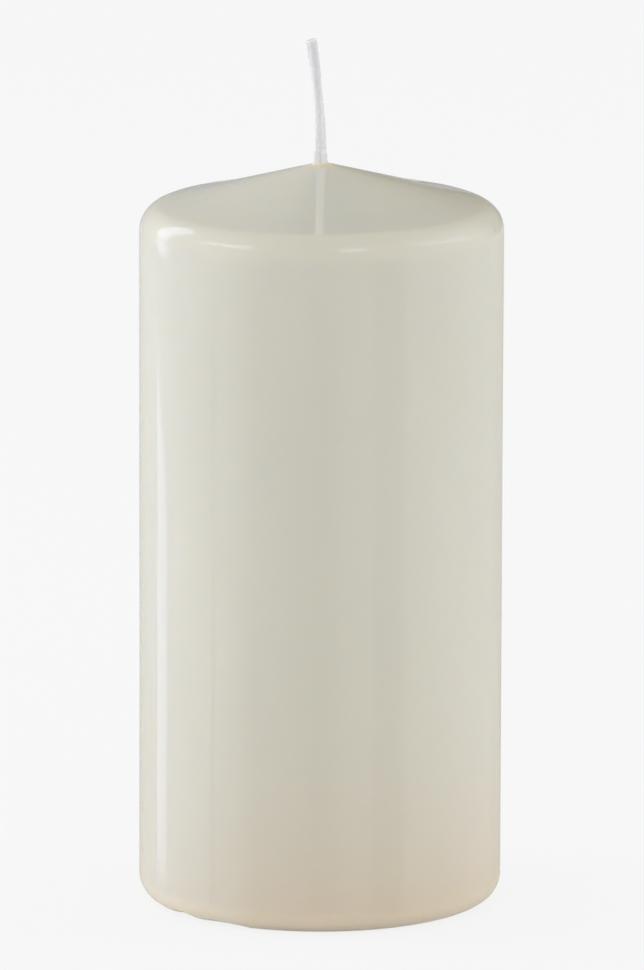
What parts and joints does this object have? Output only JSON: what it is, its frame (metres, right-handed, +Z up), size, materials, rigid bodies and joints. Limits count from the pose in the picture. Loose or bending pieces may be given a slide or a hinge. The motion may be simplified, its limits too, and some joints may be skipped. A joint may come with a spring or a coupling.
{
  "type": "pillar candle",
  "caption": "Round pillar candle with a shallow coned top, rounded shoulder and foot, and a twisted flat wick that leans to one side; a tinplate wick sustainer is seated in its base.",
  "frame": {"origin": "centre of the base, in the plane on which the candle stands", "axes": "+Z up along the candle's axis; -Y towards the viewer of the picture, from where the wick leans to -X"},
  "size_m": [0.058, 0.058, 0.1395],
  "materials": {
    "wax": "smooth and glossy, slightly translucent ivory wax",
    "waxed_cotton": "flat plaited cotton, bleached and primed with wax",
    "tinplate": "bright rolled tinplate, stamped"
  },
  "bodies": {
    "root": {"wax_body": "wax", "wick": "waxed_cotton", "wick_sustainer": "tinplate"}
  },
  "joints": []
}
